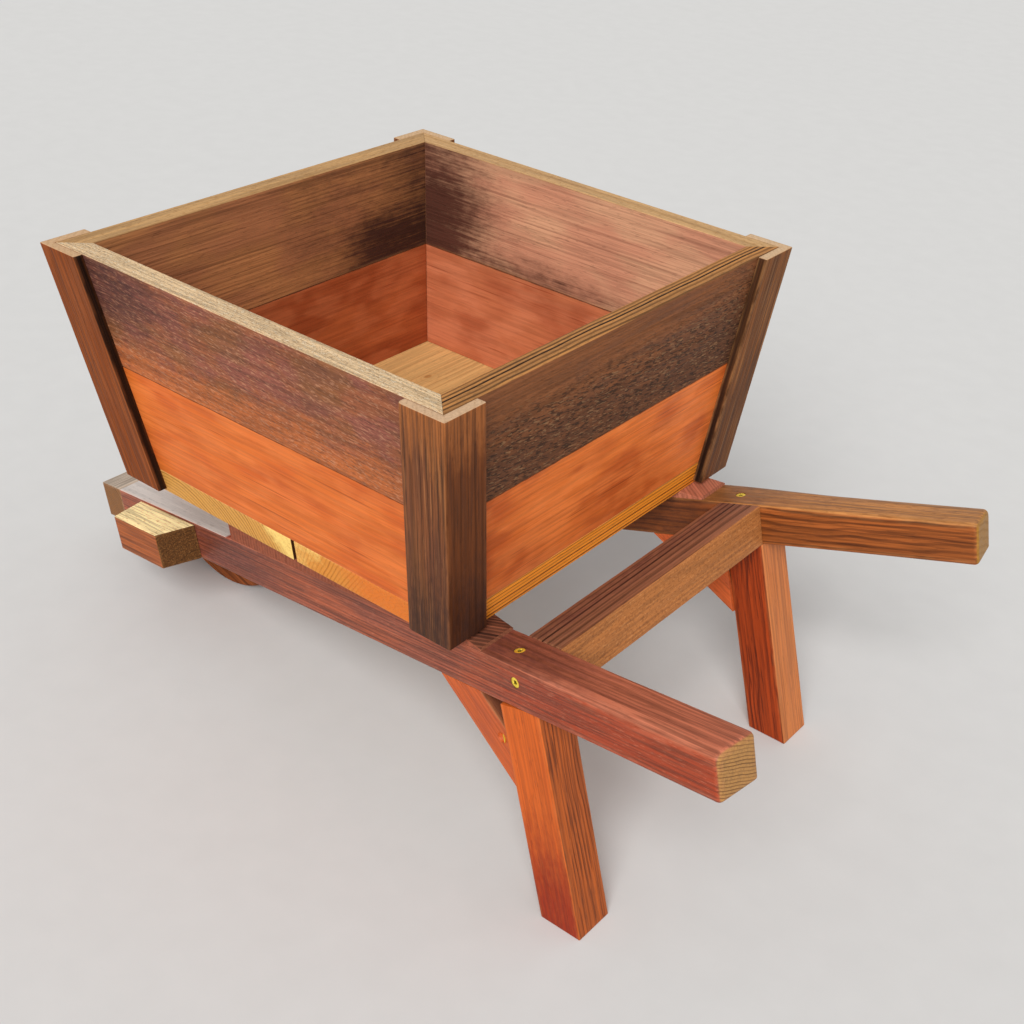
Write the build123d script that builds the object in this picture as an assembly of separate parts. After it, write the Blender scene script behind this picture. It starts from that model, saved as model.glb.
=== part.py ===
from build123d import *
import math
import os

os.makedirs("parts", exist_ok=True)

# Timber sizes
board_thickness = 19.0
floor_thickness = 20.0
stock_width = 36.0
stock_depth = 35.0
trim_thickness = 8.0
trim_width = 40.0
trim_round = 1.5

# Planter box, with the rim measured inside the boards
rim_length = 345.0
rim_width = 364.0
board_rise = 90.0
side_lean = 8.75
rear_lean = 4.5
front_lean = 10.25
floor_joint = -22.0
floor_gap = 3.0
trim_short = 3.0

# Carrying frame: the rails, crosspiece and stretcher lie in one sloping plane
rail_length = 780.0
rail_pitch = 13.75
rail_splay = 9.7
stretcher_set_back = 566.0
handle_round = 3.5
thumb_round = 8.0
handle_end_round = 3.0
wedge_tip = 1.5
wedge_tail = 20.0

# Legs and braces
leg_lean = 15.9
brace_width = 33.0
brace_angle = 45.0
brace_reach = 71.0

# Wheel, axle and axle blocks
wheel_radius = 82.5
wheel_plies = 3
wheel_edge_round = 3.0
axle_diameter = 12.0
axle_cover = 11.0
spacer_diameter = 20.0
block_ahead = 60.5
block_length = 103.0
block_bevel = 11.5
block_width = 34.0
block_drop = 2.0

# Screws
screw_head = 8.2
screw_shank = 4.2
screw_sink = 0.4
recess_width = 1.1
recess_length = 4.2
recess_core = 3.0
recess_depth = 2.0
rail_screw_length = 70.0
top_screw_length = 55.0
wedge_screw_length = 60.0
wedge_screw_insets = (38.0, 118.0, 238.0)
block_screw_length = 55.0
block_screw_inset = 22.0
brace_screw_length = 32.0
brace_screw_inset = 8.0
brace_screw_tilt = 30.0
brace_screw_proud = 1.2
top_screw_forward = 9.5
side_screw_drop = 13.5
wheel_screw_length = 25.0
wheel_screw_circle = 52.0
wheel_screw_count = 4

# Clearances
nose_clearance = 21.5
wheel_clearance = 4.6
wedge_clearance = 16.0
handle_clearance = 2.3
floor_overhang = 2.5
axle_fit = 0.05
wheel_fit = 0.08
wheel_play = 0.5
screw_fit = 0.1
hole_end = 1.0


def tan(degrees):
    return math.tan(math.radians(degrees))


def sin(degrees):
    return math.sin(math.radians(degrees))


def cos(degrees):
    return math.cos(math.radians(degrees))


def solid_between(lower, upper):
    """Flat-faced solid between two loops of matching corners."""
    loops = [lower, upper]
    for i in range(len(lower)):
        j = (i + 1) % len(lower)
        loops.append([lower[i], lower[j], upper[j], upper[i]])
    faces = [Face(Wire.make_polygon([Vector(*p) for p in loop])) for loop in loops]
    return Solid(Shell(faces))


def prism(loop, start, end, axis):
    """Solid from a flat loop, pushed along one axis from start to end."""
    ends = []
    for level in (start, end):
        if axis == "y":
            ends.append([(p, level, q) for p, q in loop])
        else:
            ends.append([(p, q, level) for p, q in loop])
    return solid_between(ends[0], ends[1])


def across(shape):
    """The matching piece on the right side."""
    return mirror(shape, about=Plane.XZ)


parts = {}

# Slope of the frame: from its front end and top face, its own X runs forward and its own Z square to it
wheel_half = wheel_plies * board_thickness / 2
axle_set_back = wheel_radius + nose_clearance
axle_drop = stock_depth / 2
nose_height = wheel_radius + axle_drop * cos(rail_pitch) - axle_set_back * sin(rail_pitch)
inner_nose = wheel_half + wheel_clearance - nose_clearance * tan(rail_splay)
nose_half = inner_nose + stock_width / cos(rail_splay)

# Height of the box, which sits where the wedges run out on the rails
wedge_rear = wedge_clearance - stretcher_set_back
floor_under = nose_height - wedge_rear * sin(rail_pitch) + wedge_tip * cos(rail_pitch)
floor_top = floor_under + floor_thickness
rim_height = floor_top + 2 * board_rise


def box_lines(z, wood):
    """Distances of the rear, front and side planes from the rim's middle, so much wood out at a height."""
    drop = rim_height - z
    rear = rim_length / 2 - drop * tan(rear_lean) + wood / cos(rear_lean)
    front = rim_length / 2 - drop * tan(front_lean) + wood / cos(front_lean)
    side = rim_width / 2 - drop * tan(side_lean) + wood / cos(side_lean)
    return rear, front, side


def box_corner(end, hand, z, wood):
    """Corner of the box at a height, so much wood out from the inner faces."""
    rear, front, side = box_lines(z, wood)
    return (front if end == "front" else -rear, side if hand == "left" else -side, z)


# Wall boards, mitred at the corners, two to a wall
wall_corners = {
    "left": (("rear", "left"), ("front", "left")),
    "right": (("front", "right"), ("rear", "right")),
    "front": (("front", "left"), ("front", "right")),
    "rear": (("rear", "right"), ("rear", "left")),
}
courses = {
    "lower": (floor_top, floor_top + board_rise),
    "upper": (floor_top + board_rise, rim_height),
}
for wall, (first, second) in wall_corners.items():
    for course, heights in courses.items():
        loops = []
        for z in heights:
            inner = [box_corner(*first, z, 0), box_corner(*second, z, 0)]
            outer = [box_corner(*second, z, board_thickness), box_corner(*first, z, board_thickness)]
            loops.append(inner + outer)
        parts[f"{wall}_{course}_board"] = solid_between(loops[0], loops[1])

# Corner trims over the mitres, with the free edges eased
for end in ("front", "rear"):
    for hand in ("left", "right"):
        toward_x = -1 if end == "front" else 1
        toward_y = -1 if hand == "left" else 1
        loops = []
        for z in (floor_under + trim_short, rim_height):
            xi, yi, _ = box_corner(end, hand, z, board_thickness)
            xo, yo, _ = box_corner(end, hand, z, board_thickness + trim_thickness)
            xe = xo + toward_x * trim_width
            ye = yo + toward_y * trim_width
            loops.append([(xo, yo, z), (xe, yo, z), (xe, yi, z), (xi, yi, z), (xi, ye, z), (xo, ye, z)])
        trim = solid_between(loops[0], loops[1])
        free_edges = []
        for corner in (1, 5):
            low, high = Vector(*loops[0][corner]), Vector(*loops[1][corner])
            free_edges.append(trim.edges().sort_by_distance((low + high) / 2)[0])
        parts[f"{end}_{hand}_corner_trim"] = fillet(free_edges, trim_round)

# Floor boards, which carry the walls and keep a drainage gap
floor_loops = {"front": [], "rear": []}
for z in (floor_under, floor_top):
    rear, front, side = box_lines(z, board_thickness)
    back_edge = floor_joint - floor_gap / 2
    fore_edge = floor_joint + floor_gap / 2
    for end, x1, x2 in (("rear", -rear, back_edge), ("front", fore_edge, front)):
        floor_loops[end].append([(x1, -side, z), (x2, -side, z), (x2, side, z), (x1, side, z)])
for end, loops in floor_loops.items():
    parts[f"{end}_floor_board"] = solid_between(loops[0], loops[1])
floor_names = [f"{end}_floor_board" for end in floor_loops]

# Place of the frame under the box
floor_rear, floor_front, _ = box_lines(floor_under, board_thickness)
wedge_end = -floor_rear - wedge_tail
nose_ahead = wedge_end - wedge_rear * cos(rail_pitch) - wedge_tip * sin(rail_pitch)
bench = Pos(nose_ahead, 0, nose_height) * Rot(0, rail_pitch, 0)
left_rail_place = bench * Pos(0, nose_half, 0) * Rot(0, 0, -rail_splay)


def half_width(u, inward):
    """Distance from the middle to a line along a rail, inward of the rail's outer face."""
    return nose_half - u * tan(rail_splay) - inward / cos(rail_splay)


def on_rail(along, inward):
    """Point in the frame's plane, so far along the left rail's outer edge and so far inward."""
    u = -along * cos(rail_splay) - inward * sin(rail_splay)
    v = nose_half + along * sin(rail_splay) - inward * cos(rail_splay)
    return u, v


def outer_and_up(edge):
    """How far outward and up an edge of the left handle lies."""
    return edge.center().Y + edge.center().Z


# Rails, square in front and rounded over where the hands hold them, most under the thumbs
handle_start = (stretcher_set_back + stock_depth) / cos(rail_splay) + handle_clearance
rail_plan = [
    (0, half_width(0, 0)),
    on_rail(handle_start, 0),
    on_rail(handle_start, stock_width),
    (0, half_width(0, stock_width)),
]
handle_length = rail_length - handle_start
handle = Box(handle_length, stock_width, stock_depth)
handle = fillet(sorted(handle.edges().filter_by(Axis.X), key=outer_and_up)[:-1], handle_round)
handle = fillet(max(handle.edges().filter_by(Axis.X), key=outer_and_up), thumb_round)
handle = fillet(handle.faces().sort_by(Axis.X)[0].edges(), handle_end_round)
handle_middle = Pos(-handle_start - handle_length / 2, -stock_width / 2, -stock_depth / 2)
left_rail = bench * prism(rail_plan, -stock_depth, 0, "z") + left_rail_place * handle_middle * handle
parts["left_rail"] = left_rail
parts["right_rail"] = across(left_rail)

# Front crosspiece over the rail ends, cut to the line of the rails
crosspiece_plan = []
for u, hand in ((0, 1), (stock_width, 1), (stock_width, -1), (0, -1)):
    crosspiece_plan.append((u, hand * half_width(u, 0)))
parts["front_crosspiece"] = bench * prism(crosspiece_plan, -stock_depth, 0, "z")

# Rear stretcher between the rails
stretcher_middle = -stretcher_set_back - stock_depth / 2
stretcher_plan = []
for u, hand in ((0, 1), (-stock_depth, 1), (-stock_depth, -1), (0, -1)):
    u = u - stretcher_set_back
    stretcher_plan.append((u, hand * half_width(u, stock_width)))
parts["rear_stretcher"] = bench * prism(stretcher_plan, -stock_depth, 0, "z")

# Wedges between the sloping rails and the level floor
reach = 4 * rim_length
below_floor = Pos(0, 0, floor_under - reach / 2) * Box(reach, reach, reach)
rise = (floor_under - nose_height) * tan(rail_pitch)
wedge_front = (floor_front - floor_overhang - nose_ahead - rise) * cos(rail_pitch)
wedge_plan = [
    (wedge_front, half_width(wedge_front, 0)),
    (wedge_rear, half_width(wedge_rear, 0)),
    (wedge_rear, half_width(wedge_rear, stock_width)),
    (wedge_front, half_width(wedge_front, stock_width)),
]
left_wedge = bench * prism(wedge_plan, 0, rim_height, "z") & below_floor
parts["left_wedge"] = left_wedge
parts["right_wedge"] = across(left_wedge)

# Legs under the stretcher joints, leaning back to the ground
below_rails = bench * Pos(stretcher_middle, 0, -stock_depth - reach / 2) * Box(reach, reach, reach)
leg_top_x = nose_ahead + stretcher_middle * cos(rail_pitch) - stock_depth * sin(rail_pitch)
leg_top_z = nose_height - stretcher_middle * sin(rail_pitch) - stock_depth * cos(rail_pitch)
leg_outside = half_width(stretcher_middle, 0)
leg_half = stock_depth / cos(leg_lean) / 2


def leg_line(z, offset):
    """Place along the object of a line in the leg's slope, forward of the leg's middle."""
    return leg_top_x + (z - leg_top_z) * tan(leg_lean) + offset


leg_top = 2 * leg_top_z
leg_side = [
    (leg_line(0, -leg_half), 0),
    (leg_line(0, leg_half), 0),
    (leg_line(leg_top, leg_half), leg_top),
    (leg_line(leg_top, -leg_half), leg_top),
]
left_leg = prism(leg_side, leg_outside - stock_width, leg_outside, "y") & below_rails
parts["left_leg"] = left_leg
parts["right_leg"] = across(left_leg)

# Braces in the line of the rails, cut to the rail underside and the leg front
lean_to_rail = leg_lean - rail_pitch
leg_front_along = (-stretcher_middle - stock_depth / 2 / cos(lean_to_rail)) / cos(rail_splay)
brace_toe = leg_front_along - brace_reach
brace_heel = brace_toe + brace_width / sin(brace_angle)
brace_run = 2 * brace_reach
brace_side = [
    (-brace_toe, -stock_depth),
    (-brace_heel, -stock_depth),
    (-brace_heel - brace_run, -stock_depth - brace_run * tan(brace_angle)),
    (-brace_toe - brace_run, -stock_depth - brace_run * tan(brace_angle)),
]
behind_leg_front = [
    (leg_line(-reach, leg_half), -reach),
    (leg_line(reach, leg_half), reach),
    (leg_line(reach, leg_half) - 4 * reach, reach),
    (leg_line(-reach, leg_half) - 4 * reach, -reach),
]
left_brace = left_rail_place * prism(brace_side, -stock_width, 0, "y")
left_brace = left_brace - prism(behind_leg_front, -reach, reach, "y")
parts["left_brace"] = left_brace
parts["right_brace"] = across(left_brace)

# Axle blocks on the rail outer faces, with the ends bevelled
block_front = axle_set_back / cos(rail_splay) - block_ahead
block_plan = [
    (-block_front, 0),
    (-block_front - block_length, 0),
    (-block_front - block_length + block_bevel, block_width),
    (-block_front - block_bevel, block_width),
]
left_block = left_rail_place * prism(block_plan, -stock_depth, -block_drop, "z")
parts["left_axle_block"] = left_block
parts["right_axle_block"] = across(left_block)

# Axle through the rails, held in blind holes in the blocks
axle_place = bench * Pos(-axle_set_back, 0, -axle_drop) * Rot(90, 0, 0)
axle_length = 2 * (half_width(-axle_set_back, -block_width) - axle_cover)
parts["axle"] = axle_place * Cylinder(axle_diameter / 2, axle_length)
axle_hole = axle_place * Cylinder(axle_diameter / 2 + axle_fit, axle_length + 2 * hole_end)
for hand in ("left", "right"):
    parts[f"{hand}_rail"] = parts[f"{hand}_rail"] - axle_hole
    parts[f"{hand}_axle_block"] = parts[f"{hand}_axle_block"] - axle_hole

# Wheel of glued plies, with the outer edges eased, free to turn on the axle
ply_names = ("wheel_right_ply", "wheel_middle_ply", "wheel_left_ply")
wheel_axis = Pos(*axle_place.position) * Rot(-90, 0, 0)
for i, name in enumerate(ply_names):
    ply = Cylinder(wheel_radius, board_thickness)
    rims = ply.edges().filter_by(GeomType.CIRCLE).sort_by(Axis.Z)
    if i == 0:
        ply = fillet(rims[0], wheel_edge_round)
    elif i == len(ply_names) - 1:
        ply = fillet(rims[-1], wheel_edge_round)
    ply = ply - Cylinder(axle_diameter / 2 + wheel_fit, 2 * board_thickness)
    parts[name] = wheel_axis * Pos(0, 0, (i + 0.5) * board_thickness - wheel_half) * ply

# Spacers that keep the wheel in the middle of the axle
spacer_start = wheel_half + wheel_play
spacer_end = half_width(-axle_set_back + spacer_diameter / 2, stock_width) - wheel_play
spacer = Cylinder(spacer_diameter / 2, spacer_end - spacer_start)
spacer = spacer - Cylinder(axle_diameter / 2 + axle_fit, spacer_end)
left_spacer = wheel_axis * Pos(0, 0, (spacer_start + spacer_end) / 2) * spacer
parts["left_spacer"] = left_spacer
parts["right_spacer"] = across(left_spacer)


def screw_shape(length, extra, cover):
    """Countersunk screw with its head at the origin and its point down, or the hole for it."""
    head = screw_head / 2 + extra
    shank = screw_shank / 2 + extra
    tip = -length - extra
    outline = [
        (0, 0, cover),
        (head, 0, cover),
        (head, 0, -extra),
        (shank, 0, shank - head - extra),
        (shank, 0, tip + shank),
        (0, 0, tip),
    ]
    return revolve(Face(Wire.make_polygon([Vector(*p) for p in outline])), Axis.Z)


def fasten(group, length, places, *pieces):
    """Makes one group of screws and the holes for them in the pieces they hold."""
    recess = Cylinder(recess_core / 2, 2 * recess_depth)
    for turn in (0, 60, 120):
        recess = recess + Rot(0, 0, turn) * Box(recess_width, recess_length, 2 * recess_depth)
    screw = screw_shape(length, 0, 0) - recess
    hole = screw_shape(length, screw_fit, stock_width)
    parts[group] = Compound([place * screw for place in places])
    for piece in pieces:
        for place in places:
            parts[piece] = parts[piece] - place * hole


def both(piece):
    """Names of the left and right one of a piece."""
    return [f"left_{piece}", f"right_{piece}"]


def both_hands(place):
    """A screw's place on the left side, and the same place on the right."""
    left = Plane(place)
    flipped = [Vector(v.X, -v.Y, v.Z) for v in (left.origin, left.x_dir, left.z_dir)]
    return [place, Plane(*flipped).location]


# Screws down through the rails into the legs
u = stretcher_middle + top_screw_forward
place = bench * Pos(u, half_width(u, stock_width / 2), -screw_sink)
fasten("rail_top_screws", top_screw_length, both_hands(place), *both("rail"), *both("leg"))

# Screws through the rail sides into the stretcher ends
along = (stretcher_set_back + stock_depth / 2) / cos(rail_splay)
place = left_rail_place * Pos(-along, -screw_sink, -side_screw_drop) * Rot(-90, 0, 0)
fasten("rail_side_screws", rail_screw_length, both_hands(place), *both("rail"), "rear_stretcher")

# Screws through the crosspiece into the rail front ends
rail_centre = half_width(0, stock_width / 2)
place = bench * Pos(stock_width - screw_sink, rail_centre, -stock_depth / 2) * Rot(0, 90, 0)
fasten("crosspiece_screws", rail_screw_length, both_hands(place), *both("rail"), "front_crosspiece")

# Screws up through the rails into the wedges, and the rearmost ones on into the floor
places = []
for inset in wedge_screw_insets:
    along = -wedge_rear / cos(rail_splay) - inset
    place = left_rail_place * Pos(-along, -stock_width / 2, screw_sink - stock_depth) * Rot(180, 0, 0)
    places += both_hands(place)
fasten("wedge_screws", wedge_screw_length, places, *both("rail"), *both("wedge"), *floor_names)

# Screws through the rails into the axle blocks
places = []
for along in (block_front + block_screw_inset, block_front + block_length - block_screw_inset):
    place = left_rail_place * Pos(-along, screw_sink - stock_width, -stock_depth / 2) * Rot(90, 0, 0)
    places += both_hands(place)
fasten("block_screws", block_screw_length, places, *both("rail"), *both("axle_block"))

# Slanted screws from the braces into the legs
head_dip = screw_head / 2 * sin(brace_screw_tilt)
upper_corner = stock_depth + (leg_front_along - brace_heel) * tan(brace_angle)
screw_drop = upper_corner + brace_screw_inset
along = leg_front_along + (screw_drop - stock_depth) * tan(lean_to_rail) - brace_screw_inset
slant = Rot(0, 0, -brace_screw_tilt) * Rot(-90, 0, 0)
place = left_rail_place * Pos(-along, brace_screw_proud - head_dip, -screw_drop) * slant
fasten("brace_screws", brace_screw_length, both_hands(place), *both("brace"), *both("leg"))

# Screws from both sides of the wheel that hold its outer plies to the middle one
places = []
for i in range(wheel_screw_count):
    turn = Rot(0, 0, 360 / wheel_screw_count * (i + 0.5))
    places += both_hands(wheel_axis * turn * Pos(wheel_screw_circle, 0, wheel_half - screw_sink))
fasten("wheel_screws", wheel_screw_length, places, *ply_names)

# The origin is on the ground under the middle of the whole object
whole = Compound(list(parts.values())).bounding_box()
centre = Pos(-(whole.min.X + whole.max.X) / 2, 0, 0)
for name, shape in parts.items():
    export_step(centre * shape, f"parts/{name}.step")
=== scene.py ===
import math

import bmesh
import bpy
import numpy as np
from numpy.linalg import norm
from mathutils import Matrix, Vector, interpolate, noise
from mathutils.bvhtree import BVHTree


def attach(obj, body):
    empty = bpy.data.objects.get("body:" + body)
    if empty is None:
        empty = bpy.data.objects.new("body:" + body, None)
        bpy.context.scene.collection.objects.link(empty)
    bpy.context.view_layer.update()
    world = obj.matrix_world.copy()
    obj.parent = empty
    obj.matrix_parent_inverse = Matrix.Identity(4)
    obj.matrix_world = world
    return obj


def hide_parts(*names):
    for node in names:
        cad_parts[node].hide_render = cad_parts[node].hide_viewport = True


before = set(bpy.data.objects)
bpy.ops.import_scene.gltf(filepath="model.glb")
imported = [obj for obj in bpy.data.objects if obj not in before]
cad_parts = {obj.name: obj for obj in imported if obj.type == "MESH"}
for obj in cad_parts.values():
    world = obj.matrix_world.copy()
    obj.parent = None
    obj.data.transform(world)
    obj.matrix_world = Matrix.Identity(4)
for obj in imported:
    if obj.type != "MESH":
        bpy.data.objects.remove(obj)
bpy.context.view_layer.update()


# Rails: two lengths of planed square softwood that run from the nose to the hands and carry everything.
# They slope up to the rear and spread apart, square in front and rounded over where they are held.
# The stretcher, legs, wedges, axle blocks and crosspiece are all screwed to them.
RAIL_PITCH = math.radians(13.75)
RAIL_SPLAY = math.radians(9.7)
RAIL_LENGTH = 779.9
RAIL_WIDTH = 36.0
RAIL_DEPTH = 35.0
ROUND_FROM = 560.0
ROUND_FULL = 680.0
THUMB_ROUND = 8.0
HANDLE_ROUND = 3.5
SQUARE_ARRIS = 1.0
NOSE_EASE = 1.2
TAIL_EASE = 4.0
TAIL_INSETS = (3.0, 3.0, 3.6, 4.4)
METRE = 1000.0

bench_ahead = np.array([math.cos(RAIL_PITCH), 0.0, -math.sin(RAIL_PITCH)])
bench_up = np.array([math.sin(RAIL_PITCH), 0.0, math.cos(RAIL_PITCH)])


def rail_lines(hand):
    """Directions of a rail: forward along it, and square out from its outer face."""
    side = np.array([0.0, 1.0 if hand == "left" else -1.0, 0.0])
    ahead = math.cos(RAIL_SPLAY) * bench_ahead - math.sin(RAIL_SPLAY) * side
    outward = math.cos(RAIL_SPLAY) * side + math.sin(RAIL_SPLAY) * bench_ahead
    return ahead, outward


def node_points(node):
    """Places of a CAD node's vertices, in millimetres."""
    return np.array([v.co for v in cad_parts[node].data.vertices]) * METRE


def end_outlines(node, along, across, up):
    """The four corners at each end of a six-sided timber: low inside, low outside, high outside, high inside."""
    points = node_points(node)
    along, across, up = (np.asarray(way, float) for way in (along, across, up))
    outlines = []
    for end in (-1, 1):
        outline = []
        for a, b in ((-1, -1), (1, -1), (1, 1), (-1, 1)):
            outline.append(points[np.argmax(points @ (end * along + 3 * a * across + 3 * b * up))])
        outlines.append(np.array(outline))
    return outlines


ARRIS_POINTS = 5
LEAST_ROUND = 0.15
LIP = 2.2
FACE_STEP = 11.0


def eased_ring(corners, radii, inset, breaks):
    """Points round a flat outline with eased corners: their places, shares of arris and sides."""
    count = len(corners)
    inset = np.broadcast_to(np.asarray(inset, float), (count,))
    ahead = np.roll(corners, -1, 0) - corners
    ahead = ahead / norm(ahead, axis=1)[:, None]
    face = sum(np.cross(corners[i - 1], corners[i]) for i in range(count))
    inward = np.cross(face / norm(face), ahead)
    behind = np.roll(inward, 1, 0)
    square = 1 + (inward * behind).sum(1)
    shift = inset[:, None] * inward + np.roll(inset, 1)[:, None] * behind
    corners = corners + shift / square[:, None]
    rounds = np.maximum(np.asarray(radii) - (inset + np.roll(inset, 1)) / 2, LEAST_ROUND)
    places, arris, sides = [], [], []
    for i in range(count):
        first = corners[i] - ahead[i - 1] * rounds[i]
        last = corners[i] + ahead[i] * rounds[i]
        for t in np.linspace(0, 1, ARRIS_POINTS):
            places.append((1 - t) ** 2 * first + 2 * t * (1 - t) * corners[i] + t * t * last)
            arris.append(1.0)
            sides.append((i - 1 + t) % count)
        j = (i + 1) % count
        goal = corners[j] - ahead[i] * rounds[j]
        edge = min(LIP / norm(goal - last), 0.3)
        for t in [edge] + [edge + (1 - 2 * edge) * s for s in breaks[i]] + [1 - edge]:
            places.append(last + (goal - last) * t)
            arris.append(0.0)
            sides.append(float(i))
    return np.array(places), np.array(arris), np.array(sides)


def end_faces(counts):
    """Closes an end ring, given its points to a corner and side: a strip of quads where it has four even sides."""
    around = sum(counts)
    if len(counts) != 4 or counts[0] != counts[2]:
        return [tuple(range(around))]
    below = list(range(ARRIS_POINTS, counts[0]))
    above = list(range(counts[0] + counts[1] + ARRIS_POINTS, sum(counts[:3])))[::-1]
    faces = [(below[k], below[k + 1], above[k + 1], above[k]) for k in range(len(below) - 1)]
    faces.append(tuple(range(below[-1], above[-1] + 1)))
    faces.append((*range(above[0], around), *range(below[0] + 1)))
    return faces


def grain_places(points, along, middle, pith, shift):
    """Grain places of points: along the fibres, then across and through, measured from the pith."""
    along = np.asarray(along, float) / norm(along)
    across = np.cross([0, 0, 1.0] if abs(along[2]) < 0.8 else [0, 1.0, 0], along)
    across = across / norm(across)
    axes = np.array([along, across, np.cross(along, across)])
    return (points - np.asarray(middle)) @ axes.T + np.array([shift, pith[0], pith[1]])


CREASE = math.radians(38)


def smooth_arrises(mesh):
    """Shades a mesh smooth, except over its sharp edges."""
    mesh.polygons.foreach_set("use_smooth", [True] * len(mesh.polygons))
    mesh.set_sharp_from_angle(angle=CREASE)


def lay(mesh, name, values, kind="FLOAT", field="value"):
    """Writes one value on each vertex of a mesh."""
    layer = mesh.attributes.new(name, kind, "POINT")
    layer.data.foreach_set(field, np.asarray(values, np.float32).ravel())


def lay_marks(mesh, grain, marks, tones):
    """Writes the grain places, the wear marks and the tones on a mesh, and smooths its arrises."""
    lay(mesh, "grain", grain, "FLOAT_VECTOR", "vector")
    lay(mesh, "marks", marks, "FLOAT_COLOR", "color")
    lay(mesh, "tone", tones)
    smooth_arrises(mesh)


def set_out(name, data):
    """Puts a new object into the scene."""
    made = bpy.data.objects.new(name, data)
    bpy.context.scene.collection.objects.link(made)
    return made


END_TURN = np.radians((0, 22, 45, 68, 90))
WEAR_RUN = 23.0
CHIP_RUN = 9.0
SWAY = 0.12
SWAY_RUN = 55.0


def timber(node, outlines, pith, shift, along=None, ease=0.8, end_ease=(0.8, 0.8), end_inset=None, sides=None,
           tone=None, step=14.0):
    """A length of wood between two end outlines, with eased and worn arrises, for one CAD node."""
    start, finish = outlines
    span = norm((finish - start).mean(0))
    along = finish.mean(0) - start.mean(0) if along is None else along
    middle = (start.mean(0) + finish.mean(0)) / 2
    corner_count = len(start)
    first_inset = np.full(corner_count, end_ease[0])
    last_inset = np.broadcast_to(np.asarray(end_inset or end_ease[1], float), (corner_count,))
    waist = (start + finish) / 2
    runs = norm(np.roll(waist, -1, 0) - waist, axis=1)
    counts = [max(1, int(round(run / FACE_STEP))) for run in runs]
    breaks = [[s / count for s in range(1, count)] for count in counts]
    pieces = max(2, int(round((span - sum(end_ease) - 2 * LIP) / step)))
    even = np.linspace(end_ease[0] + LIP, span - end_ease[1] - LIP, pieces + 1)
    curve = [(1 - math.cos(a), 1 - math.sin(a)) for a in END_TURN]
    stations = [(d * end_ease[0], t * first_inset, t) for d, t in curve]
    stations += [(d, 0.0, 0.0) for d in even]
    stations += [(span - d * end_ease[1], t * last_inset, t) for d, t in reversed(curve)]

    def arris_radii(d):
        base = ease(d) if callable(ease) else ease
        base = np.broadcast_to(np.asarray(base, float), (corner_count,))
        wear = np.array([noise.noise((d / WEAR_RUN, i * 7.3, shift * 0.1)) for i in range(corner_count)])
        chip = np.array([noise.noise((d / CHIP_RUN, i * 5.1 + 40, shift * 0.1)) for i in range(corner_count)])
        return base + np.minimum(base, 1.0) * (0.3 * wear + 1.3 * np.maximum(chip - 0.42, 0.0))

    rings, ends = [], []
    for d, inset, turned in stations:
        corners = start + (finish - start) * (d / span)
        places, arris, side = eased_ring(corners, arris_radii(d), inset, breaks)
        rings.append(places)
        ends.append(min(1.0, 1.45 * turned))
    cap = min(2.0, 0.2 * runs.min())
    rings.insert(0, eased_ring(start, arris_radii(0.0), first_inset + cap, breaks)[0])
    rings.append(eased_ring(finish, arris_radii(span), last_inset + cap, breaks)[0])
    around = len(rings[0])
    points = np.concatenate(rings)
    worn = [np.zeros(around)] + [np.maximum(arris, 0.6 * (e > 0)) for e in ends] + [np.zeros(around)]
    ends = np.repeat([1.0] + ends + [1.0], around)
    side_all = np.tile(side, len(rings))
    faces = []
    for base in (0, (len(rings) - 1) * around):
        closed = end_faces([ARRIS_POINTS + len(gaps) + 2 for gaps in breaks])
        faces += [tuple(base + i for i in face) for face in closed]
    for r in range(len(rings) - 1):
        for i in range(around):
            j = (i + 1) % around
            faces.append((r * around + i, r * around + j, (r + 1) * around + j, (r + 1) * around + i))
    mesh = bpy.data.meshes.new(node + "_timber")
    mesh.from_pydata([tuple(p / METRE) for p in points], [], faces)
    shaped = bmesh.new()
    shaped.from_mesh(mesh)
    bmesh.ops.recalc_face_normals(shaped, faces=shaped.faces[:])
    shaped.normal_update()
    for v in shaped.verts:
        place = v.co * METRE / SWAY_RUN + Vector((shift, 0.0, 0.0))
        v.co += v.normal * (0.5 * SWAY / METRE) * (noise.noise(place) - 1.0)
    shaped.to_mesh(mesh)
    shaped.free()
    sides = sides or (0,) * corner_count
    cut_side = np.interp(side_all, range(corner_count + 1), [*sides, sides[0]])
    marks = np.stack([np.concatenate(worn), ends, cut_side, np.ones(len(points))], 1)
    tones = np.zeros(len(points)) if tone is None else [tone(p, s) for p, s in zip(points, side_all)]
    lay_marks(mesh, grain_places(points, along, middle, pith, shift), marks, tones)
    piece = set_out(node + "_timber", mesh)
    piece["grain"] = [*along, *middle, *pith, shift]
    return piece


def screw_seats(group):
    """Head middle, outward axis and length of each screw of a CAD group, in metres."""
    shaped = bmesh.new()
    shaped.from_mesh(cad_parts[group].data)
    bmesh.ops.remove_doubles(shaped, verts=shaped.verts[:], dist=1e-6)
    shaped.verts.ensure_lookup_table()
    taken = set()
    seats = []
    for first in shaped.verts:
        if first in taken:
            continue
        taken.add(first)
        ready, screw = [first], []
        while ready:
            v = ready.pop()
            screw.append(v.co.copy())
            for e in v.link_edges:
                other = e.other_vert(v)
                if other not in taken:
                    taken.add(other)
                    ready.append(other)
        points = np.array(screw)
        middle = points.mean(0)
        axis = np.linalg.svd(points - middle)[2][0]
        height = (points - middle) @ axis
        spread = norm(points - middle - np.outer(height, axis), axis=1)
        if spread[height > 0].max() < spread[height < 0].max():
            axis, height = -axis, -height
        rim = points[(height > height.max() - 2e-5) & (spread > 0.9 * spread.max())]
        seats.append((Vector(rim.mean(0)), Vector(axis), float(np.ptp(height))))
    shaped.free()
    return seats


def seat_frame(head, axis):
    """Turns and moves a screw's own places, with its axis upward, to its seat."""
    return Matrix.Translation(head) @ axis.to_track_quat("Z", "Y").to_matrix().to_4x4()


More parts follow.
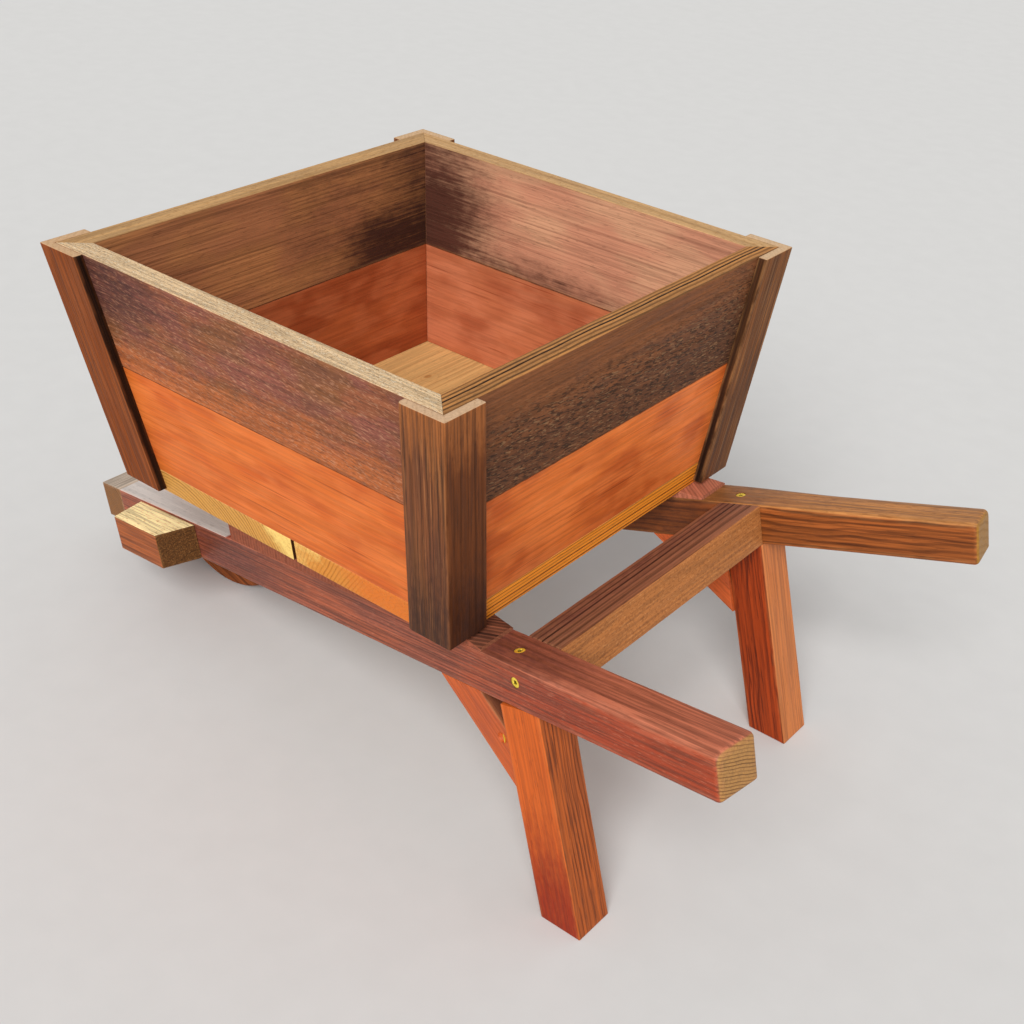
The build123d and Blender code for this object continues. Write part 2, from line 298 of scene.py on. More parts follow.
def turned_ring(seat, radii, height, count):
    """Places round a screw's axis on its seat, in metres."""
    turns = np.linspace(0, 2 * math.pi, count, endpoint=False)
    radii = np.broadcast_to(radii, (count,))
    return [seat @ (Vector((r * math.cos(a), r * math.sin(a), height)) / METRE) for r, a in zip(radii, turns)]


HOLE_SIDES = 28
COUNTERSINK = ((4.3, 4.0), (4.3, -0.1), (2.3, -2.2), (2.3, -3.4))
HOLE_REACH = 0.004
HOLE_SKIN = 5e-5


def bore(piece, *groups, hole_shade_tone=-1.0):
    """Cuts the countersunk holes for screws into a timber, and lays its marks again; the hole walls take the given
    tone, by default dark as painted shade.
    """
    before = piece.data
    old = before.vertices
    tree = BVHTree.FromPolygons([v.co for v in old], [p.vertices for p in before.polygons])
    cutter = bmesh.new()
    low = np.min([v.co for v in old], 0) - HOLE_REACH
    high = np.max([v.co for v in old], 0) + HOLE_REACH
    for head, axis, _ in [seat for group in groups for seat in screw_seats(group)]:
        if (np.array(head) < low).any() or (np.array(head) > high).any():
            continue
        seat = seat_frame(head, axis)
        loops = []
        for r, z in COUNTERSINK:
            loops.append([cutter.verts.new(p) for p in turned_ring(seat, r, z, HOLE_SIDES)])
        for one, two in zip(loops, loops[1:]):
            for i in range(HOLE_SIDES):
                j = (i + 1) % HOLE_SIDES
                cutter.faces.new((one[i], two[i], two[j], one[j]))
        cutter.faces.new(loops[0])
        cutter.faces.new(loops[-1][::-1])
    bmesh.ops.recalc_face_normals(cutter, faces=cutter.faces[:])
    tool_mesh = bpy.data.meshes.new("countersink")
    cutter.to_mesh(tool_mesh)
    cutter.free()
    tool = set_out("countersink", tool_mesh)
    cut = piece.modifiers.new("bore", "BOOLEAN")
    cut.object = tool
    cut.solver = "EXACT"
    bpy.context.view_layer.update()
    drawn = piece.evaluated_get(bpy.context.evaluated_depsgraph_get())
    after = bpy.data.meshes.new_from_object(drawn)
    piece.modifiers.remove(cut)
    bpy.data.objects.remove(tool)
    old_marks = np.zeros(len(old) * 4, np.float32)
    before.attributes["marks"].data.foreach_get("color", old_marks)
    old_marks = old_marks.reshape(-1, 4)
    old_tones = np.zeros(len(old), np.float32)
    before.attributes["tone"].data.foreach_get("value", old_tones)
    marks, tones = [], []
    for v in after.vertices:
        place, _, face, gap = tree.find_nearest(v.co)
        ids = list(before.polygons[face].vertices)
        weights = interpolate.poly_3d_calc([old[i].co for i in ids], place)
        mark = sum(w * old_marks[i] for w, i in zip(weights, ids))
        # Hole walls get the hole tone: dark by default, painted shade in the holes.
        in_hole = gap > HOLE_SKIN
        marks.append(np.array([0.0, 0.0, mark[2], 1.0]) if in_hole else mark)
        tones.append(hole_shade_tone if in_hole else sum(w * old_tones[i] for w, i in zip(weights, ids)))
    for name in ("grain", "marks", "tone"):
        if name in after.attributes:
            after.attributes.remove(after.attributes[name])
    rule = list(piece["grain"])
    points = np.array([v.co for v in after.vertices]) * METRE
    after.name = piece.name
    piece.data = after
    lay_marks(after, grain_places(points, rule[:3], rule[3:6], rule[6:8], rule[8]), marks, tones)


def shade(red, green, blue):
    """Linear colour of a finish given as it is seen, in steps of 255."""
    seen = np.array([red, green, blue]) / 255
    linear = np.where(seen <= 0.04045, seen / 12.92, ((seen + 0.055) / 1.055) ** 2.4)
    return (*map(float, linear), 1.0)


def node_makers(owner):
    """Empties the node tree of a material or the world, and gives the functions that add nodes to it."""
    owner.use_nodes = True
    tree = owner.node_tree
    tree.nodes.clear()

    def add(kind, sources, out=0, **settings):
        """Adds one node, joins or sets its inputs, and gives the output asked for."""
        made = tree.nodes.new("ShaderNode" + kind)
        for key, value in settings.items():
            setattr(made, key, value)
        for place, source in sources.items():
            if hasattr(source, "links"):
                tree.links.new(source, made.inputs[place])
            else:
                made.inputs[place].default_value = source
        return made.outputs[out] if made.outputs else None

    def calc(operation, a, b=0.0):
        return add("Math", {0: a, 1: b}, operation=operation)

    def times(a, b, plus=0.0):
        return add("Math", {0: a, 1: b, 2: plus}, operation="MULTIPLY_ADD")

    def space(operation, a, b=(0.0, 0.0, 0.0), out=0):
        return add("VectorMath", {0: a, 1: b}, out=out, operation=operation)

    def streaks(place, run, width, detail=2.0, share=0.5, out=0):
        """Noise drawn out along the grain, with the run and width in marks to the millimetre."""
        drawn = space("MULTIPLY", place, (run, width, width))
        inputs = {"Vector": drawn, "Scale": 1.0, "Detail": detail, "Roughness": share}
        return add("TexNoise", inputs, out=out)

    def between(value, low, high, to_low=0.0, to_high=1.0):
        inputs = {0: value, 1: low, 2: high, 3: to_low, 4: to_high}
        return add("MapRange", inputs, interpolation_type="SMOOTHSTEP")

    def blend(share, a, b):
        a, b = (shade(*colour) if isinstance(colour, (tuple, list)) else colour for colour in (a, b))
        return add("Mix", {0: share, 6: a, 7: b}, out=2, data_type="RGBA")

    return add, calc, times, space, streaks, between, blend


PORE = (50, 26, 16)


def wood_finish(name, early, late, rings=(3.0, 0.5, 0.5, 0.8), wave=(3.0, 0.006), patchy=0.0, fibre=0.15, hair=None,
                flecks=(), flecked_stain=False, slant=0.0, blotches=(), pore_depth=0.2, cut=None, cut_flecks=(),
                stain_and_shade=(46, 26, 20), warm=(196, 96, 50), pale=None, mottled=0.5, lined=0.0, ends=None,
                end_flecks=(), toned_end=False, worn=None, surface=(0.5, 0.72, 0.15, 0.4), knot=None, seat=None):
    """Wood: growth rings round a pith, fibres, flecks, patches, stains and painted shade, cut sides, worn arrises
    and a painted reflection.

    Early and late are the colours of a ring. Rings are (gap, depth, start, full), wave (reach, run),
    flecks (colour, depth, threshold, run, width), blotches (colour, depth, run, width),
    hair (colour, depth, gap, threshold), cut sides and ends (early, late, depth), worn arrises (colour, depth),
    a knot (place, size, stretch), and the surface (least and most roughness, shine, relief).
    """
    ring_gap, ring_depth, *ring_band = rings
    wave_reach, wave_run = wave
    least_dull, most_dull, shine, relief = surface
    finish = bpy.data.materials.new(name)
    add, calc, times, space, streaks, between, blend = node_makers(finish)
    if seat is None:
        grain = add("Attribute", {}, out=1, attribute_name="grain")
    else:
        place = add("TexCoord", {}, out=3)
        inputs = {"Vector": place, "Location": seat[0], "Rotation": seat[1], "Scale": (METRE,) * 3}
        grain = add("Mapping", inputs)
    marks = add("SeparateColor", {0: add("Attribute", {}, attribute_name="marks")}).node.outputs
    arris, cut_end, cut_side = marks[0], between(marks[1], 0.15, 0.6), between(marks[2], 0.1, 0.55)
    tone = add("Attribute", {}, out=2, attribute_name="tone")
    if not toned_end:
        tone = times(tone, times(cut_end, -1.0, 1.0))
    sawn = add("Mapping", {"Vector": grain, "Rotation": (0.0, slant, 0.0)}) if slant else grain

    def sprinkle(colour, specks, mask=1.0):
        for tint, depth, threshold, run, width in specks:
            spots = between(streaks(sawn, run, width, 1.5, 0.55), threshold, threshold + 0.06)
            colour = blend(times(times(spots, depth), mask), colour, tint)
        return colour

    # The rings wander along the length, close up round a knot, and each has its own depth.
    sway = space("SUBTRACT", streaks(grain, wave_run, 0.02, 2.0, 0.45, out=1), (0.5, 0.5, 0.5))
    bent = space("ADD", grain, space("MULTIPLY", sway, (0.0, 3 * wave_reach, 3 * wave_reach)))
    radius = space("LENGTH", space("MULTIPLY", bent, (0.0, 1.0, 1.0)), out=1)
    if knot is not None:
        knot_place, knot_size, knot_stretch = knot
        away = space("MULTIPLY", space("SUBTRACT", grain, knot_place), knot_stretch)
        off_knot = space("LENGTH", away, out=1)
        radius = times(between(off_knot, knot_size * 4.0, knot_size * 0.6), 2.5 * ring_gap, radius)
    count = times(streaks(grain, 0.001, 0.03, 1.0), 2.4, calc("DIVIDE", radius, ring_gap))
    share = calc("FRACT", count)
    lines = times(between(share, *ring_band), between(share, 1.0, 0.94))
    each = add("TexWhiteNoise", {"W": calc("FLOOR", count)}, noise_dimensions="1D")
    lines = times(lines, between(each, 0.0, 1.0, 0.45, 1.0))
    if patchy:
        lines = times(lines, between(streaks(grain, 0.014, 0.04), 0.42, 0.58, 1 - patchy, 1.0))

    fibres = streaks(grain, 0.014, 0.5, 2.0, 0.6)
    strands = times(streaks(grain, 0.006, 0.2), 0.3, times(fibres, 0.7))
    broken = streaks(sawn, 0.12, 0.7, 1.5, 0.55)
    pores = between(streaks(sawn, 0.11, 0.8, 1.0), 0.62, 0.7)
    speckle = streaks(grain, 0.08, 0.16, 4.0, 0.68)

    # Plain wood comes first, then its cut sides, its hair lines and its cut ends.
    colour = blend(times(lines, ring_depth), early, late)
    for tint, depth, run, width in blotches:
        patch = between(streaks(grain, run, width, 2.0, 0.55), 0.42, 0.62)
        colour = blend(times(patch, depth), colour, tint)
    if cut is not None:
        plain = blend(times(lines, cut[2]), *cut[:2])
        colour = blend(cut_side, colour, sprinkle(plain, cut_flecks))
    if hair is not None:
        tint, depth, gap, threshold = hair
        hairs = between(streaks(grain, 0.005, 1 / gap, 1.0), threshold, threshold + 0.07)
        colour = blend(times(hairs, times(cut_side, -0.6 * depth, depth)), colour, tint)
    if ends is not None:
        end_lines = blend(times(lines, ends[2]), *ends[:2])
        colour = blend(cut_end, colour, sprinkle(end_lines, end_flecks))

    # A tone above 0 glows, and far above it turns to the pale colour, used for a painted sky reflection; one below 0
    # stains, and in places lays painted shade. Both break up along the grain.
    mottle = times(speckle, 1.8, times(broken, 0.7, -1.25))
    mottle = times(mottle, mottled, times(fibres, 2 * lined, -lined))
    glow = between(calc("ADD", tone, mottle), 0.05, 0.95)
    colour = blend(times(glow, between(tone, 0.0, 0.25)), colour, warm)
    plain_light = cut_end
    # The pale colour is a painted reflection, laid where the tone is far above 1.
    if pale is not None:
        painted_reflection = between(tone, 1.1, 1.7)
        colour = blend(painted_reflection, colour, pale)
        plain_light = calc("MAXIMUM", cut_end, painted_reflection)
    dark = between(calc("SUBTRACT", mottle, tone), 0.05, 1.0)
    dark = times(dark, between(tone, 0.0, -0.3))
    colour = blend(dark, colour, stain_and_shade)
    clear = between(tone, 0.0, -0.5, 0.15, 1.0) if flecked_stain else times(dark, -0.6, 1.0)
    clear = times(times(calc("MAXIMUM", cut_side, cut_end), -1.0, 1.0), clear)
    colour = sprinkle(colour, flecks, clear)
    colour = blend(times(pores, pore_depth), colour, PORE)
    if knot is not None:
        colour = blend(between(off_knot, knot_size, knot_size * 0.5, 0.0, 0.8), colour, late)
    if worn is not None:
        rubbed = between(streaks(grain, 0.06, 0.2), 0.35, 0.6, 0.2, 1.0)
        colour = blend(times(times(arris, rubbed), worn[1]), colour, worn[0])
    light = between(strands, 0.41, 0.59, -1.4 * fibre, 1.4 * fibre)
    light = times(light, times(plain_light, -0.7, 1.0), 1.0)
    colour = add("VectorMath", {0: colour, "Scale": light}, operation="SCALE")

    height = times(strands, 0.7, times(lines, 0.25))
    height = calc("SUBTRACT", times(broken, 0.5, height), times(pores, 0.3))
    bump = add("Bump", {"Strength": relief, "Distance": 0.0006, "Height": height})
    dull = between(times(lines, 0.2, strands), 0.35, 0.75, least_dull, most_dull)
    inputs = {"Base Color": colour, "Roughness": dull, "Specular IOR Level": shine, "Normal": bump}
    add("OutputMaterial", {0: add("BsdfPrincipled", inputs)})
    return finish


def fit(piece, finish, node, body="frame"):
    """Gives a piece its finish and puts it in the place of its CAD node."""
    piece.data.materials.clear()
    piece.data.materials.append(finish)
    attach(piece, body)
    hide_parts(node)


def rise(value, low, high):
    """Smooth rise from 0 at low to 1 at high."""
    t = min(max((value - low) / (high - low), 0.0), 1.0)
    return t * t * (3 - 2 * t)


def fall(value, low, high):
    """Smooth fall from 1 at low to 0 at high."""
    return 1 - rise(value, low, high)


def handle_ease(d):
    """Arris radii of a rail, so far from its front end: two below, then inner and outer above."""
    held = rise(d, ROUND_FROM, ROUND_FULL)
    plain = SQUARE_ARRIS + (HANDLE_ROUND - SQUARE_ARRIS) * held
    return plain, plain, plain, SQUARE_ARRIS + (THUMB_ROUND - SQUARE_ARRIS) * held


def left_rail_tone(p, side):
    """Reddened towards the rear of the outer face, with a painted shadow of the axle block on it; on top, a painted
    grey sky reflection in front and darker near the box.
    """
    if 2.5 < side <= 3.5:
        # A painted shadow of the axle block on the outer face.
        block_shadow = rise(p[0], 40.0, 130.0) * fall(p[0], 195.0, 250.0)
        return 0.7 * fall(p[0], -320.0, -60.0) - 0.5 * block_shadow
    if 1.5 < side <= 2.5:
        # On top in front, a high tone turns to the pale colour: a painted grey sky reflection.
        grey = 2.0 if p[0] > 165.0 else 0.0
        return grey - 0.6 * fall(-p[0], 190.0, 340.0) * rise(-p[0], 140.0, 165.0)
    return 0.0


def right_rail_tone(p, side):
    """Painted shade under the box, on the inner face and the top."""
    if 0.5 < side <= 1.5:
        return -0.55 * rise(p[0], -215.0, -165.0)
    if 1.5 < side <= 2.5:
        return -0.45 * rise(p[0], -290.0, -190.0)
    return 0.0


rail_finishes = {
    # The left rail's pale colour is a painted grey sky reflection on the top in front, and its dark colour also
    # draws a painted shadow of the axle block.
    "left": wood_finish(
        "mauve_brown_rail", (158, 82, 54), (110, 54, 38), rings=(2.4, 0.5, 0.55, 0.8), wave=(1.6, 0.006), fibre=0.2,
        hair=((92, 46, 36), 0.5, 1.9, 0.55), flecks=[((190, 120, 92), 0.25, 0.6, 0.14, 0.9)],
        blotches=[((124, 72, 60), 0.5, 0.012, 0.05)], cut=((184, 104, 76), (116, 60, 44), 0.6), stain_and_shade=(84, 46, 42),
        warm=(150, 59, 32), pale=(208, 197, 189), mottled=0.3, lined=0.5, ends=((174, 126, 72), (84, 52, 26), 0.8),
        worn=((206, 134, 104), 0.15), surface=(0.36, 0.56, 0.2, 0.3)),
    # The right rail's dark colour lays the painted shade under the box.
    "right": wood_finish(
        "striped_tan_rail", (152, 82, 35), (54, 22, 8), rings=(6.2, 0.95, 0.5, 0.72), wave=(7.0, 0.009), patchy=0.45,
        fibre=0.18, hair=((90, 44, 18), 0.5, 1.9, 0.56), flecks=[((74, 32, 12), 0.5, 0.62, 0.016, 0.4)],
        cut=((182, 122, 66), (126, 78, 40), 0.3), cut_flecks=[((122, 74, 38), 0.4, 0.56, 0.12, 0.6)],
        stain_and_shade=(64, 34, 22), mottled=0.3, lined=0.5, ends=((160, 112, 42), (112, 72, 22), 0.6),
        worn=((206, 150, 94), 0.15), surface=(0.36, 0.56, 0.2, 0.3)),
}
rail_tones = {"left": left_rail_tone, "right": right_rail_tone}
for hand, pith, shift in (("left", (62.0, 210.0), 130.0), ("right", (60.0, 130.0), 910.0)):
    node = f"{hand}_rail"
    ahead, outward = rail_lines(hand)
    nose_outer, nose_inner = end_outlines(node, -ahead, outward, bench_up)[0][2:]
    tail_outer = nose_outer - RAIL_LENGTH * ahead
    tail_inner = tail_outer - RAIL_WIDTH * outward
    drop = RAIL_DEPTH * bench_up
    nose = np.array([nose_outer - drop, nose_inner - drop, nose_inner, nose_outer])
    tail = np.array([tail_outer - drop, tail_inner - drop, tail_inner, tail_outer])
    rail = timber(node, (nose, tail), pith, shift, ease=handle_ease, end_ease=(NOSE_EASE, TAIL_EASE),
                  end_inset=TAIL_INSETS, sides=(0, 0, 1, 0), tone=rail_tones[hand])
    bore(rail, "rail_top_screws", "rail_side_screws", "wedge_screws", "block_screws")
    fit(rail, rail_finishes[hand], node)


# Front crosspiece: a short length of the same stock across the rail ends, cut to their splay.
# It is screwed through its front face into the end of each rail, and its top carries a painted grey sky reflection.
crosspiece = timber("front_crosspiece", end_outlines("front_crosspiece", (0, 1, 0), bench_ahead, bench_up),
                    (60.0, 80.0), 55.0, ease=1.5, sides=(0, 0, 1, 0))
bore(crosspiece, "crosspiece_screws")
# Its top, a cut side, takes a greyish colour that is a painted sky reflection.
crosspiece_wood = wood_finish(
    "tan_crosspiece", (170, 118, 74), (120, 76, 44), rings=(3.2, 0.5, 0.5, 0.8), fibre=0.2,
    hair=((104, 66, 42), 0.4, 2.4, 0.57), blotches=[((146, 98, 66), 0.5, 0.012, 0.05)],
    cut=((188, 170, 152), (152, 130, 110), 0.5), ends=((140, 95, 56), (100, 64, 36), 0.8),
    worn=((214, 190, 164), 0.25))
fit(crosspiece, crosspiece_wood, "front_crosspiece")


# Rear stretcher: square stock between the rails behind the box, held by a screw through each rail's side.
# Its upper face shows the growth rings edge-on as dark lines, and its rear face is fine and plain.
stretcher_middle = node_points("rear_stretcher").mean(0)


def stretcher_tone(p, side):
    """Darker on top, towards the box."""
    if not 1.5 < side <= 2.5:
        return 0.0
    return -0.45 * rise((p - stretcher_middle) @ bench_ahead, -4.0, 14.0)


stretcher = timber("rear_stretcher", end_outlines("rear_stretcher", (0, 1, 0), bench_ahead, bench_up),
                   (160.0, 12.0), 320.0, ease=1.1, sides=(0, 1, 0, 1), tone=stretcher_tone)
stretcher_wood = wood_finish(
    "lined_stretcher", (150, 99, 72), (40, 19, 12), rings=(6.4, 0.97, 0.55, 0.72), wave=(1.4, 0.004), fibre=0.1,
    hair=((70, 34, 24), 0.35, 2.6, 0.57), cut=((178, 112, 60), (146, 86, 46), 0.1),
    cut_flecks=[((134, 78, 40), 0.45, 0.55, 0.35, 0.6), ((206, 142, 88), 0.4, 0.6, 0.3, 0.7)], stain_and_shade=(84, 46, 40),
    mottled=0.4, lined=0.5, worn=((190, 122, 74), 0.25))
fit(stretcher, stretcher_wood, "rear_stretcher")


# Wedges: tapered pieces that fill the space between each sloping rail and the level floor.
# They are as wide as the rail, cut at a slant to the grain, and are screwed up through it from below.
wedge_woods = {
    "left": wood_finish(
        "dark_lined_wedge", (146, 88, 64), (36, 21, 16), rings=(2.9, 0.96, 0.25, 0.45), wave=(1.2, 0.01), fibre=0.1,
        blotches=[((70, 38, 28), 0.7, 0.02, 0.05)], cut=((156, 86, 60), (114, 60, 46), 0.4),
        ends=((150, 92, 66), (98, 58, 42), 0.6)),
    "right": wood_finish(
        "red_lined_wedge", (178, 106, 80), (130, 76, 54), rings=(3.0, 0.55, 0.5, 0.75), wave=(1.2, 0.01), fibre=0.1,
        ends=((170, 104, 78), (124, 72, 52), 0.5)),
}
for hand, shift, grain in (("left", 75.0, (-0.889, -0.458, 0.0)), ("right", 405.0, (-0.82, 0.57, 0.0))):
    node = f"{hand}_wedge"
    outline = end_outlines(node, bench_ahead, rail_lines(hand)[1], bench_up)
    wedge = timber(node, outline, (150.0, 30.0), shift, along=grain, sides=(0, 1, 0, 0))
    fit(wedge, wedge_woods[hand], node)


# Legs: square stock under the stretcher joints, leaning back from the rails to the ground.
# Both ends are cut on the slant, and a screw comes down through the rail into the top.
LEG_LEAN = math.radians(15.9)
leg_down = np.array([-math.sin(LEG_LEAN), 0.0, -math.cos(LEG_LEAN)])
leg_ahead = np.array([math.cos(LEG_LEAN), 0.0, -math.sin(LEG_LEAN)])
leg_finishes = {
    "left": wood_finish(
        "bright_orange_leg", (180, 88, 32), (72, 28, 8), rings=(3.6, 0.85, 0.5, 0.75), wave=(6.0, 0.009), patchy=0.6,
        fibre=0.09, hair=((104, 46, 16), 0.36, 1.9, 0.55), flecks=[((74, 30, 10), 0.6, 0.58, 0.022, 0.75)],
        cut=((198, 92, 32), (168, 64, 24), 0.1), cut_flecks=[((176, 72, 28), 0.2, 0.56, 0.02, 0.3)],
        warm=(143, 44, 17), mottled=0.4, worn=((206, 122, 68), 0.25), surface=(0.4, 0.6, 0.2, 0.3)),
    "right": wood_finish(
        "deep_red_leg", (160, 60, 16), (74, 19, 4), rings=(5.0, 0.8, 0.5, 0.75), wave=(6.0, 0.009), patchy=0.6,
        fibre=0.11, hair=((84, 24, 6), 0.38, 1.9, 0.55), flecks=[((64, 16, 4), 0.55, 0.6, 0.03, 0.55)],
        cut=((199, 118, 64), (171, 90, 46), 0.1), cut_flecks=[((184, 100, 54), 0.25, 0.56, 0.02, 0.3)],
        worn=((210, 130, 78), 0.25), surface=(0.4, 0.6, 0.2, 0.3)),
}


def left_leg_tone(p, side):
    """Redder towards the foot on the outer face."""
    return 0.85 * fall(p[2], 5.0, 140.0) if 0.5 < side < 1.5 else 0.0


for hand, pith, shift, sides, tone in (("left", (8.0, 170.0), 210.0, (0, 1, 0, 1), left_leg_tone),
                                       ("right", (150.0, 30.0), 640.0, (1, 0, 1, 0), None)):
    node = f"{hand}_leg"
    leg = timber(node, end_outlines(node, leg_down, (0, 1, 0), leg_ahead), pith, shift, along=leg_down, ease=1.2,
                 end_ease=(0.4, 1.2), sides=sides, tone=tone)
    fit(leg, leg_finishes[hand], node)


# Braces: flat lengths set at a slant between each rail's underside and the front of its leg.
# The lower end is fixed to the leg by one slanted screw, whose head stands a little proud.
BRACE_SLANT = math.radians(45.0)
# The dark colour of its cut upper face is painted shade.
brace_wood = wood_finish(
    "orange_brown_brace", (196, 92, 44), (148, 62, 30), rings=(4.2, 0.2, 0.5, 0.8), fibre=0.07,
    hair=((130, 56, 30), 0.18, 2.4, 0.57), blotches=[((164, 80, 56), 0.5, 0.01, 0.04)],
    cut=((124, 72, 48), (92, 50, 32), 0.6), worn=((222, 140, 88), 0.3), surface=(0.42, 0.62, 0.2, 0.4))
for hand, shift in (("left", 15.0), ("right", 480.0)):
    node = f"{hand}_brace"
    ahead, outward = rail_lines(hand)
    brace_down = -ahead * math.cos(BRACE_SLANT) - bench_up * math.sin(BRACE_SLANT)
    brace_face = ahead * math.sin(BRACE_SLANT) - bench_up * math.cos(BRACE_SLANT)
    brace = timber(node, end_outlines(node, brace_down, outward, brace_face), (20.0, 120.0), shift,
                   along=brace_down, ease=1.1, end_ease=(0.4, 0.4), sides=(1, 0, 0, 0))
    bore(brace, "brace_screws", hole_shade_tone=0.0)
    fit(brace, brace_wood, node)


# Axle blocks: short bevelled offcuts screwed to the outer face of each rail, which close the axle hole.
# The top shows fresh yellow saw marks and the cut ends are dark and speckled.
block_wood = wood_finish(
    "sawn_block", (158, 86, 47), (112, 58, 32), rings=(3.4, 0.4, 0.5, 0.8), fibre=0.2,
    hair=((112, 62, 40), 0.4, 2.4, 0.57), cut=((255, 228, 168), (204, 152, 92), 0.1),
    cut_flecks=[((176, 122, 68), 0.5, 0.6, 0.12, 0.7)], ends=((90, 55, 23), (52, 31, 12), 0.6),
    end_flecks=[((148, 102, 56), 0.4, 0.55, 0.4, 0.9), ((52, 31, 14), 0.45, 0.55, 0.4, 0.8)],
    worn=((206, 152, 98), 0.15))
for hand, shift in (("left", 30.0), ("right", 300.0)):
    node = f"{hand}_axle_block"
    ahead, outward = rail_lines(hand)
    block = timber(node, end_outlines(node, -ahead, outward, bench_up), (30.0, 70.0), shift, along=ahead,
                   ease=1.0, sides=(0, 0, 1, 0))
    fit(block, block_wood, node)


# Wheel: three discs of the same wood glued and screwed with their grain crossed.
# It turns freely on the axle between two spacers.
for ply, turn in (("left", 0.35), ("middle", 1.9), ("right", 0.9)):
    ply_wood = wood_finish(
        f"{ply}_ply_wood", (140, 74, 34), (84, 40, 16), rings=(4.4, 0.7, 0.5, 0.8), fibre=0.2,
        hair=((92, 46, 20), 0.4, 2.4, 0.57), blotches=[((112, 60, 30), 0.5, 0.012, 0.04)],
        seat=((20.0, 30.0, 80.0 + 40.0 * turn), (0.0, turn, 0.0)))
    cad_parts[f"wheel_{ply}_ply"].material_slots[0].material = ply_wood


# Axle and spacers: a drawn steel rod through the rails and two turned steel collars.
# They are hidden in use, plain and lightly brushed round.
def bright_metal(name, colour, dull, run, gloss, metallic, deep=None):
    """Metal with fine turning lines, a little tarnish, and a darker colour in its recesses, which is painted shade.
    """
    finish = bpy.data.materials.new(name)
    add, _, _, space, _, between, blend = node_makers(finish)
    place = add("TexCoord", {}, out=3)
    lines = add("TexNoise", {"Vector": space("MULTIPLY", place, run), "Scale": 1.0, "Detail": 2.0})
    tarnish = add("TexNoise", {"Vector": place, "Scale": 260.0, "Detail": 3.0})
    tint = blend(between(tarnish, 0.4, 0.7, 0.0, 0.6), colour, dull)
    # The recess colour is painted shade in the star recesses.
    if deep is not None:
        tint = blend(add("Attribute", {}, out=2, attribute_name="recess"), tint, deep)
    rough = add("MapRange", {0: lines, 1: 0.3, 2: 0.7, 3: gloss[0], 4: gloss[1]})
    bump = add("Bump", {"Strength": 0.2, "Distance": 0.0002, "Height": lines})
    inputs = {"Base Color": tint, "Metallic": metallic, "Roughness": rough, "Normal": bump}
    add("OutputMaterial", {0: add("BsdfPrincipled", inputs)})
    return finish


steel = bright_metal("drawn_steel", (188, 188, 186), (120, 116, 110), (90.0, 2200.0, 90.0), (0.22, 0.42), 1.0)
for node in ("axle", "left_spacer", "right_spacer"):
    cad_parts[node].material_slots[0].material = steel


# Floor boards: two wide pale boards laid across the rails, with a gap between them to drain.
# Their cut ends show on both sides under the walls, with the growth rings as arcs.
GAP_MIDDLE = 2.4
GAP_HALF = 1.8
FLOOR_UNDER = 207.0
floor_finishes = {
    "front": wood_finish(
        "pale_floor_front", (218, 172, 110), (180, 126, 70), rings=(3.4, 0.25, 0.5, 0.8), wave=(1.4, 0.006),
        fibre=0.08, hair=((176, 118, 64), 0.25, 2.6, 0.57), stain_and_shade=(66, 36, 14), warm=(252, 214, 124),
        ends=((212, 154, 76), (144, 86, 30), 0.8), toned_end=True, worn=((220, 176, 116), 0.15),
        knot=((40.3, 34.7, 85.0), 3.4, (0.6, 1.0, 0.1))),
    "rear": wood_finish(
        "pale_floor_rear", (218, 170, 108), (180, 126, 70), rings=(3.3, 0.25, 0.52, 0.74), wave=(1.2, 0.003),
        fibre=0.08, hair=((176, 118, 64), 0.25, 2.6, 0.57), cut=((255, 158, 48), (112, 40, 6), 0.97),
        stain_and_shade=(218, 118, 46), warm=(252, 214, 124), ends=((216, 140, 58), (166, 92, 32), 0.6), toned_end=True,
        worn=((220, 172, 108), 0.15)),
}


def floor_tone(p, side):
    """Dark in the gap; by it the left ends are pale, and the rear board's ends turn orange."""
    from_gap = abs(p[0] - GAP_MIDDLE)
    if from_gap < GAP_HALF:
        return -1.0
    edge = rise(abs(p[1]), 150.0, 172.0)
    reach = 8.0 + 0.9 * (p[2] - FLOOR_UNDER)
    bright = 0.75 if p[0] > GAP_MIDDLE else 0.45
    pale = bright * (p[1] > 0) * fall(from_gap, reach, reach + 12.0)
    orange = 0.9 * fall(p[0], -85.0, -25.0) * (side < 2.5)
    return edge * (pale - orange)


for end, pith, shift, sides in (("front", (56.0, 75.0), 140.0, None), ("rear", (-60.0, 60.0), 520.0, (0, 0, 0, 1))):
    node = f"{end}_floor_board"
    floor_board = timber(node, end_outlines(node, (0, 1, 0), (1, 0, 0), (0, 0, 1)), pith, shift, ease=0.6,
                         end_ease=(0.5, 0.5), sides=sides, tone=floor_tone)
    fit(floor_board, floor_finishes[end], node)


# Lower wall boards: one to each wall, mitred at the corners, leaning outward and standing on the floor.
# They are planed smooth and oiled a bright orange, with few marks.
SEAM = 316.96
MITRE_EASE = (0.4, 0.4)
wall_ways = {
    "left": ((1, 0, 0), (0, 1, 0)),
    "right": ((1, 0, 0), (0, -1, 0)),
    "front": ((0, 1, 0), (1, 0, 0)),
    "rear": ((0, 1, 0), (-1, 0, 0)),
}


def lower_tone(p, side):
    """Dark along the joint with the upper board."""
    return -0.6 if p[2] > SEAM - 0.5 else 0.0


